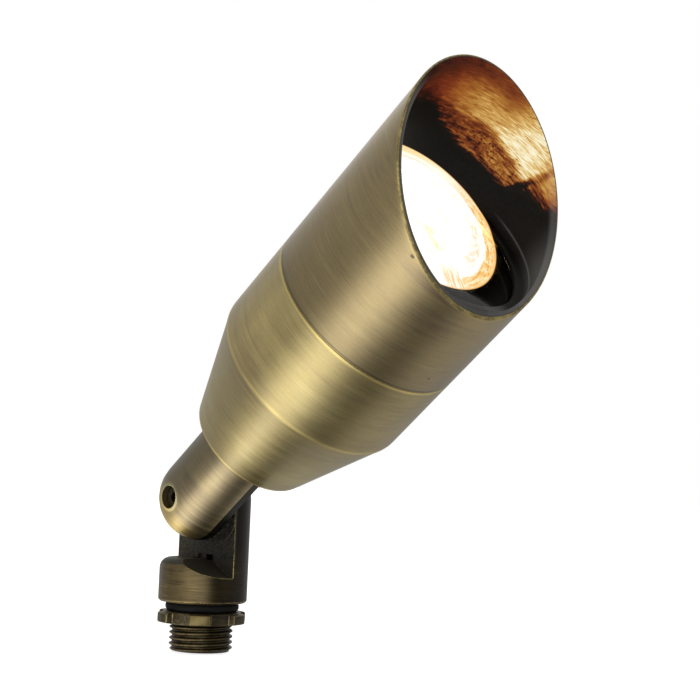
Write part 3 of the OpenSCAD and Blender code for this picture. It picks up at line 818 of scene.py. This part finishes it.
brass_hood = coat(brass_turned(
    "brass_hood", (0.368, 0.284, 0.138), (0.285, 0.215, 0.118), (0.450, 0.358, 0.172),
    [(96.0, 0.80), (99.0, 0.84), (106.0, 0.92), (116.0, 1.0), (130.0, 1.08), (150.0, 1.12), (172.0, 1.05)],
    darks=[(SEAM_S + 0.75, 0.30, 0.60)], nicks=[(18.45, -26.87, 135.9, 0.95), (32.58, -0.9, 103.8, 0.7)],
    extra=hood_extra))
brass_housing = coat(brass_turned(
    "brass_housing", (0.455, 0.366, 0.158), (0.375, 0.294, 0.136), (0.540, 0.446, 0.196),
    [(30.0, 0.92), (45.0, 1.0), (60.0, 0.96), (67.0, 0.92), (70.0, 1.0), (82.0, 1.03), (96.0, 0.98)],
    edges=[(CONE_S, 0.75, 0.62), (SEAM_S - 0.35, 0.55, 0.85), (HOUSING_S + 0.45, 0.55, 0.75)], seed=31.0,
    extra=housing_side_light))


def arm_extra(M, v, x, y, s, col, rgh):
    # the screw's counterbore: painted shade inside it, its countersunk mouth rubbed bright with a painted highlight on
    # it, and a painted glow round it
    d = M.math("SQRT", M.add(M.mul(x, x), M.mul(s, s)))
    out = M.step(y, -8.0, -10.0)
    ring = M.mul(M.band(d, 3.72, 4.72, 0.14), out)
    halo_highlight = M.mul(M.bell(d, 4.8, 1.3), out, 0.55)
    col = M.mix(halo_highlight, col, (0.66, 0.54, 0.26))
    col = M.mix(ring, col, (1.0, 0.90, 0.50))
    hole_shade = M.mul(M.step(d, 3.82, 3.66), out)
    col = M.mix(hole_shade, col, (0.030, 0.027, 0.022))
    # painted shade: the mating face and the bore behind it, in the gap between the parts, are painted near black
    face = M.step(y, -3.10, -2.88)
    col = M.mix(face, col, (0.008, 0.0065, 0.0045))
    top = M.step(s, 16.0, 32.0)
    # painted light and shade: lighter and darker round the arm's axis, by how the light falls
    up = M.add(M.mul(x, 0.588), M.mul(y, -0.809))
    side = M.add(M.mul(x, -0.809), M.mul(y, -0.588))
    turn = M.mul(M.math("ARCTAN2", side, up), 180 / math.pi)
    shade = M.curve(turn, [(-70.0, 1.15), (-42.0, 1.25), (-28.0, 0.90), (-14.0, 1.0), (8.0, 1.03), (22.0, 0.82),
                           (38.0, 0.56), (56.0, 0.40), (90.0, 0.40)])
    col = M.mix(M.step(s, -8.0, 5.0), col, M.mix(1.0, col, shade, "MULTIPLY"))
    # painted highlight: a golden glint on the lower side of the rounded end
    col = M.mix(M.mul(M.step(s, 1.0, -9.0), M.step(y, -3.0, -7.0), 0.9), col, (0.82, 0.60, 0.17))
    col = M.mix(M.mul(top, 0.30), col, (0.28, 0.225, 0.13))
    rgh = M.mixf(face, rgh, 0.75)
    rgh = M.mixf(ring, rgh, 0.78)
    return col, rgh


M_ARM = brass_turned("brass_arm", (0.460, 0.368, 0.190), (0.330, 0.258, 0.142), (0.540, 0.440, 0.225),
                     [(-16.0, 0.96), (0.0, 1.0), (20.0, 0.96), (33.0, 0.86)], rough=0.38, seed=67.0, extra=arm_extra)
brass_arm = coat(M_ARM, 0.55, 0.30)
M_ARM.bsdf.inputs["Coat IOR"].default_value = 1.65


def knuckle_extra(M, v, x, y, z, col, rgh):
    rad = M.math("SQRT", M.add(M.mul(x, x), M.mul(y, y)))
    grit = M.noise(v, 1.3, 3.0, 0.6)
    low = M.step(z, 9.4, 9.0)
    # thread: brown roots, rubbed crests
    root = M.mul(M.step(rad, 10.12, 9.75), low)
    col = M.mix(M.mul(low, 0.8), col, (0.048, 0.037, 0.022))
    col = M.mix(M.mul(root, 0.85), col, (0.022, 0.016, 0.010))
    crest = M.mul(M.step(rad, 10.20, 10.46), low, M.mixf(M.step(grit, 0.38, 0.60), 0.30, 1.0))
    col = M.mix(M.mul(crest, 0.75), col, (0.30, 0.235, 0.115))
    # upper part: painted shade on the face beside the arm, in the scoop and in the wire mouth
    face = M.mul(M.step(z, 29.9, 31.2), M.step(y, 1.4, 0.8))
    inner = M.mul(M.step(rad, BASE_R - 0.25, BASE_R - 0.6), M.step(z, 20.0, 22.0))
    shade_mask = M.math("MAXIMUM", M.mul(face, 0.92), M.mul(inner, 0.92))
    shade_tone = M.mix(M.step(grit, 0.35, 0.65), (0.040, 0.038, 0.031), (0.095, 0.090, 0.073))
    # painted shade: the tang beyond its face is darkened
    hi = M.mul(M.step(z, 28.0, 36.0), M.step(y, 0.4, 1.6))
    col = M.mix(M.mul(hi, 0.85), col, (0.060, 0.049, 0.030))
    # painted shade: the right-hand side is darkened
    u = M.add(M.mul(x, RIGHT.x), M.mul(y, RIGHT.y))
    col = M.mix(1.0, col, M.curve(u, [(-14.8, 0.68), (-10.0, 0.86), (-5.0, 0.78), (1.0, 0.52), (6.0, 0.21), (10.0, 0.13),
                                      (14.8, 0.11)]), "MULTIPLY")
    col = M.mix(shade_mask, col, shade_tone)
    # painted shade in the scoop under the arm
    scoop = M.mul(inner, M.step(z, 31.2, 29.9), M.step(y, 2.2, 1.2))
    col = M.mix(scoop, col, M.mix(grit, (0.060, 0.057, 0.046), (0.115, 0.108, 0.086)))
    return col, M.mixf(shade_mask, rgh, 0.72)


def knuckle_calm(M, x, y, z):
    # edges of the serrated ring and inside the bore aren't rubbed
    px = M.math("SQRT", M.add(M.mul(x, x), M.mul(M.math("SUBTRACT", z, PIVOT_Z), M.math("SUBTRACT", z, PIVOT_Z))))
    ring = M.mul(M.step(px, 14.6, 14.3), M.step(y, 4.0, 3.0))
    low = M.step(z, 10.0, 9.0)
    rad = M.math("SQRT", M.add(M.mul(x, x), M.mul(y, y)))
    deep = M.mul(M.step(rad, BASE_R - 0.15, BASE_R - 0.6), M.step(z, 20.0, 22.0))
    return M.mul(M.math("SUBTRACT", 1.0, ring), M.mixf(low, 1.0, 0.35), M.mixf(M.step(z, 31.0, 34.0), 1.0, 0.45),
                 M.mixf(deep, 1.0, 0.15))


brass_base = coat(cast_brass("brass_base", (0.200, 0.150, 0.068), (0.125, 0.090, 0.044), (0.310, 0.245, 0.108),
                             wear=0.9, wear_radius=0.45, extra=knuckle_extra, calm=knuckle_calm), 0.2)

LOBE = math.radians(-41.0)


def nut_extra(M, v, x, y, z, col, rgh):
    grit = M.noise(v, 1.1, 3.0, 0.6)
    # painted light: the lobe facing the light and the left side are lightened
    along_lobe = M.add(M.mul(x, math.cos(LOBE)), M.mul(y, math.sin(LOBE)))
    across = M.math("ABSOLUTE", M.add(M.mul(x, -math.sin(LOBE)), M.mul(y, math.cos(LOBE))))
    lit_lobe = M.mul(M.step(along_lobe, 13.2, 14.2), M.step(across, 3.9, 3.2))
    col = M.mix(M.mul(lit_lobe, M.mixf(grit, 0.6, 1.0)), col, (0.205, 0.160, 0.062))
    lit_left = M.mul(M.step(M.add(M.mul(x, -RIGHT.x), M.mul(y, -RIGHT.y)), 1.0, 6.0), M.step(grit, 0.40, 0.62))
    return M.mix(M.mul(lit_left, 0.6), col, (0.19, 0.152, 0.075)), rgh


brass_nut = coat(cast_brass("brass_nut", (0.070, 0.055, 0.031), (0.036, 0.028, 0.017), (0.130, 0.104, 0.055),
                            rough=0.45, wear=0.9, wear_radius=0.35, seed=13.0, extra=nut_extra), 0.2)

gold_edge = worn_gold("worn_gold")
rim = rim_dark()
inside = hood_inside()
lens_mat = lens_glass()
rubber = simple("rubber", (0.006, 0.006, 0.006), 0.62, grain=0.3, bump=0.25, Specular_IOR_Level=0.16)
steel = simple("steel", (0.42, 0.42, 0.41), 0.34, 1.0, grain=0.15, bump=0.08)
screw_dark = simple("screw_dark", (0.060, 0.056, 0.050), 0.42, 1.0, grain=0.3, bump=0.1)
ceramic = simple("ceramic", (0.82, 0.80, 0.74), 0.5, grain=0.06, bump=0.2)
contact = simple("contact", (0.60, 0.52, 0.30), 0.3, 1.0, grain=0.15, bump=0.08)
sleeve = simple("sleeve", (0.80, 0.79, 0.74), 0.7, grain=0.15, bump=0.4, scale=3.0)
mirror = simple("reflector", (0.80, 0.80, 0.78), 0.14, 1.0, grain=0.06, bump=0.05)
hot = simple("lamp_lit", (1.0, 0.98, 0.9), 0.2, Emission_Color=(1.0, 0.86, 0.62), Emission_Strength=1.2)
clear = simple("clear", (0.96, 0.97, 0.97), 0.04, grain=0.02, bump=0.02, Transmission_Weight=1.0, IOR=1.47)

# ---------------------------------------------------------------------------
# hood, in place of the shroud
# ---------------------------------------------------------------------------

SEG = 256


def mouth(r, down=0.0):
    return lambda t: MOUTH_S - MOUTH_K * r * math.cos(t + MOUTH_TURN) - down


HOOD = [  # (r, s, material of the band that follows): 0 brass, 1 worn edge, 2 rim, 3 inside
    (32.15, SEAM_S + 0.05, 0), (32.36, SEAM_S + 0.07, 0), (32.52, SEAM_S + 0.17, 0), (32.59, SEAM_S + 0.33, 0),
    (BODY_R, SEAM_S + 0.55, 0), (BODY_R, SEAM_S + 1.6, 0), (BODY_R, SEAM_S + 12, 0),
    (BODY_R, mouth(BODY_R, 2.2), 0), (BODY_R, mouth(BODY_R, 0.62), 1),
    (32.56, mouth(32.56, 0.34), 1), (32.45, mouth(32.45, 0.14), 1), (32.27, mouth(32.27, 0.03), 1),
    (32.05, mouth(32.05), 2), (31.85, mouth(31.85), 3), (31.7, mouth(31.7), 3), (31.45, mouth(31.45, 0.03), 3),
    (31.15, mouth(31.15, 0.14), 3), (30.9, mouth(30.9, 0.34), 3), (30.72, mouth(30.72, 0.62), 3),
    (30.62, mouth(30.62, 1.0), 3), (MOUTH_R, mouth(MOUTH_R, 1.5), 3), (MOUTH_R, mouth(MOUTH_R, 2.6), 3), (MOUTH_R, SHOULDER_S + 0.7, 3),
    (MOUTH_R, SHOULDER_S + 0.22, 3), (30.54, SHOULDER_S + 0.07, 3), (30.38, SHOULDER_S, 3), (30.1, SHOULDER_S, 3),
    (28.6, SHOULDER_S, 3), (28.42, SHOULDER_S - 0.03, 3), (28.27, SHOULDER_S - 0.12, 3), (WINDOW_R, SHOULDER_S - 0.3, 3),
    (WINDOW_R, SHOULDER_BACK + 0.15, 3), (28.35, SHOULDER_BACK, 3), (SHROUD_BORE_R, SHOULDER_BACK, 3),
    (SHROUD_BORE_R, 126.05, 0), (31.0, 126.05, 0), (31.0, 124.75, 0), (SHROUD_BORE_R, 124.75, 0),
    (SHROUD_BORE_R, SEAM_S + 0.35, 0), (30.35, SEAM_S + 0.05, 0)]
bm = lathe_bm([(r, s) for r, s, _ in HOOD], SEG, True, [m for _, _, m in HOOD])
finish_mesh("shroud_body", bm, [brass_hood, gold_edge, rim, inside], "shroud", "shroud", 35, HEAD)

# ---------------------------------------------------------------------------
# housing with its cut thread
# ---------------------------------------------------------------------------

CONE_K = 11.6 / 35.3


def cone_r(s):
    return SMALL_R + CONE_K * (s - HOUSING_S - 0.3)


outer = rounded([(8.0, 32.5), (20.90, 32.5), (cone_r(50.0), 50.0), (BODY_R, CONE_S), (BODY_R, 80.0),
                 (BODY_R, SEAM_S), (30.0, SEAM_S)],
                [0, 0.5, 0, 6.0, 0, 0.38, 0], 5)
prof = []
for i, p in enumerate(outer):
    prof.append(p)
    if abs(p[0] - cone_r(50.0)) < 1e-6 and abs(p[1] - 50.0) < 1e-6:
        prof.append((cone_r(65.5), 65.5))
    if abs(p[1] - 80.0) < 1e-6:
        prof.append((BODY_R, 96.0))
seam_thread = thread_rows(29.42, 30.0, 99.75, 106.5, 1.5, 0.3, step=0.12, lead=0.8)
inner_floor = SMALL_R + CONE_K * 5.5 - 3.36
prof += [(30.0, 97.72), (28.4, 97.72), (28.4, 99.6), (29.42, 99.6)] + seam_thread + [
    (29.3, 106.9), (28.9, 107.4), (27.6, 107.4), (27.5, 107.3), (27.5, 62.6), (27.4, 62.2),
    (inner_floor, 38.0), (11.05, 38.0), (8.2, 38.0), (8.0, 37.8), (8.0, 34.3), (9.15, 34.3), (9.15, 32.5)]
prof[0] = (11.05, 32.5)
prof[-2:] = [(11.05, 34.3)]
bm = lathe_bm(prof, SEG, True)
finish_mesh("housing_body", bm, brass_housing, "head", "housing", 32, HEAD)

# ---------------------------------------------------------------------------
# lower knuckle: the CAD casting with a cut helical thread
# ---------------------------------------------------------------------------

def edge_key(a, b):
    return frozenset(tuple(round(q * 1e6) for q in p) for p in (a, b))


def cad_skin(node):
    """A node's CAD skin as one closed mesh, and the borders of its faces."""
    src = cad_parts[node]
    bm = bmesh.new()
    bm.from_mesh(src.data)
    bmesh.ops.transform(bm, matrix=src.matrix_world, verts=bm.verts)
    borders = {edge_key(e.verts[0].co, e.verts[1].co) for e in bm.edges if e.is_boundary}
    bmesh.ops.remove_doubles(bm, verts=bm.verts, dist=1e-7)
    return bm, borders


def keep_borders(ob, borders):
    """The borders between CAD faces stay sharp in the shading."""
    me = ob.data
    for e in me.edges:
        a, b = e.vertices
        if edge_key(me.vertices[a].co, me.vertices[b].co) in borders:
            e.use_edge_sharp = True


bm, borders = cad_skin("lower_knuckle")
gone = []
for f in bm.faces:
    reach = max(math.hypot(v.co.x, v.co.y) for v in f.verts)
    low = min(v.co.z for v in f.verts) < 8.88 * MM and reach > 5 * MM
    ledge = max(v.co.z for v in f.verts) < 8.92 * MM and reach > 10.2 * MM
    if low or ledge:
        gone.append(f)
bmesh.ops.delete(bm, geom=gone, context="FACES")
PHASE = 0.29 - PITCH * math.atan2(RIGHT.y, RIGHT.x) / (2 * math.pi) + PITCH / 2
rows = thread_rows(9.55, NIPPLE_R, 0.0, 8.9, PITCH, PHASE, step=0.085, lead=1.0)
rows = [(WIRE_R + 0.2, 0.0), (8.9, 0.0)] + rows
add_tube(bm, rows, 192)
for z in (0.0, 8.9 * MM):
    rim_edges = [e for e in bm.edges if e.is_boundary and all(abs(v.co.z - z) < 2e-6 for v in e.verts)]
    bmesh.ops.bridge_loops(bm, edges=rim_edges)
bmesh.ops.recalc_face_normals(bm, faces=bm.faces)
keep_borders(finish_mesh("lower_knuckle_body", bm, brass_base, "base", "lower_knuckle", 32), borders)

# lamp capsule: the CAD skin without empty faces
bm, borders = cad_skin("lamp_capsule")
bmesh.ops.delete(bm, geom=[f for f in bm.faces if f.calc_area() < 1e-15], context="FACES")
keep_borders(finish_mesh("lamp_capsule_body", bm, hot, "lamp", "lamp_capsule", 32), borders)

# ---------------------------------------------------------------------------
# lock nut
# ---------------------------------------------------------------------------

LUG = [(0.0, 15.1), (6.0, 15.1), (11.6, 15.1), (12.5, 15.04), (13.1, 14.86), (13.6, 14.5), (14.75, 13.5),
       (15.25, 13.16), (16.0, 13.02), (17.2, 13.0), (24.0, 13.0)]
nut_angles = []
for k in range(6):
    mid = -41.0 + 60.0 * k
    half = [(-a, r) for a, r in reversed(LUG[1:])] + LUG
    nut_angles += [(math.radians(mid + a), r) for a, r in half] + [(math.radians(mid + 30.0), 13.0)]


def nut_ring(bm, f):
    ring = []
    for t, big in nut_angles:
        lug = min(1.0, max(0.0, (big - 13.0) / 2.1))
        r, z = f(big, lug)
        ring.append(bm.verts.new((r * MM * math.cos(t), r * MM * math.sin(t), z * MM)))
    return ring


Z0, Z1 = NIPPLE_LEN - GASKET_T - NUT_T, NIPPLE_LEN - GASKET_T
bm = bmesh.new()
half_rings = [
    lambda b, l: (10.56, 1.6), lambda b, l: (10.62, 1.92), lambda b, l: (10.8, 2.0), lambda b, l: (12.45, 2.0),
    lambda b, l: (12.68, 1.96), lambda b, l: (12.86, 1.82), lambda b, l: (12.93, 1.70 if l > 0.02 else 1.66),
    lambda b, l: (max(12.96, b - 0.62), 1.70 if l > 0.02 else 1.60),
    lambda b, l: (max(12.98, b - 0.36), 1.64 if l > 0.02 else 1.50),
    lambda b, l: (max(12.99, b - 0.10), 1.44 if l > 0.02 else 1.35),
    lambda b, l: (b, 1.15 if l > 0.02 else 1.10)]
mid_z = (Z0 + Z1) / 2
rings = [nut_ring(bm, lambda b, l, f=f: (f(b, l)[0], mid_z + f(b, l)[1])) for f in half_rings]
rings += [nut_ring(bm, lambda b, l, f=f: (f(b, l)[0], mid_z - f(b, l)[1])) for f in reversed(half_rings)]
skin_rings(bm, rings, True)
finish_mesh("lock_nut_body", bm, brass_nut, "nut", "lock_nut", 30)

# ---------------------------------------------------------------------------
# gasket and lens
# ---------------------------------------------------------------------------

gz = NIPPLE_LEN - GASKET_T / 2
arc = [(10.65 + 1.55 * math.cos(math.radians(a)) ** 0.8, gz + 1.55 * math.sin(math.radians(a)))
       for a in range(-84, 85, 12)]
bm = lathe_bm([(10.6, gz - 1.55), (10.75, gz - 1.55)] + arc + [(10.75, gz + 1.55), (10.6, gz + 1.55)], 128)
finish_mesh("gasket_body", bm, rubber, "gasket", "base_gasket", 40)

lens_prof = [(0, LENS_BACK), (15.0, LENS_BACK), (29.1, LENS_BACK), (29.35, LENS_BACK + 0.05), (29.55, LENS_BACK + 0.22),
             (LENS_R, LENS_BACK + 0.5), (LENS_R, LENS_FRONT - 0.5), (29.55, LENS_FRONT - 0.22),
             (29.35, LENS_FRONT - 0.05), (29.1, LENS_FRONT), (15.0, LENS_FRONT), (0, LENS_FRONT)]
bm = lathe_bm(lens_prof, 160, False)
finish_mesh("lens_body", bm, lens_mat, "lens_carrier", "lens", 30, HEAD)

# ---------------------------------------------------------------------------
# materials on the pieces that keep their CAD shape
# ---------------------------------------------------------------------------

for names, m in (
        (("upper_knuckle",), brass_arm),
        (("arm_oring", "housing_oring", "wire_seal"), rubber), (("lens_gasket",), inside),
        (("knuckle_screw", "lock_washer"), screw_dark),
        (("socket_bracket", "bracket_screws", "socket_screws", "lens_ring"), steel),
        (("socket_body", "lamp_base"), ceramic), (("socket_contacts", "crimp_splices", "lamp_pins"), contact),
        (("socket_leads",), sleeve), (("lamp_reflector",), mirror),
        (("lamp_glass",), clear)):
    for n in names:
        paint(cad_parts[n], m)
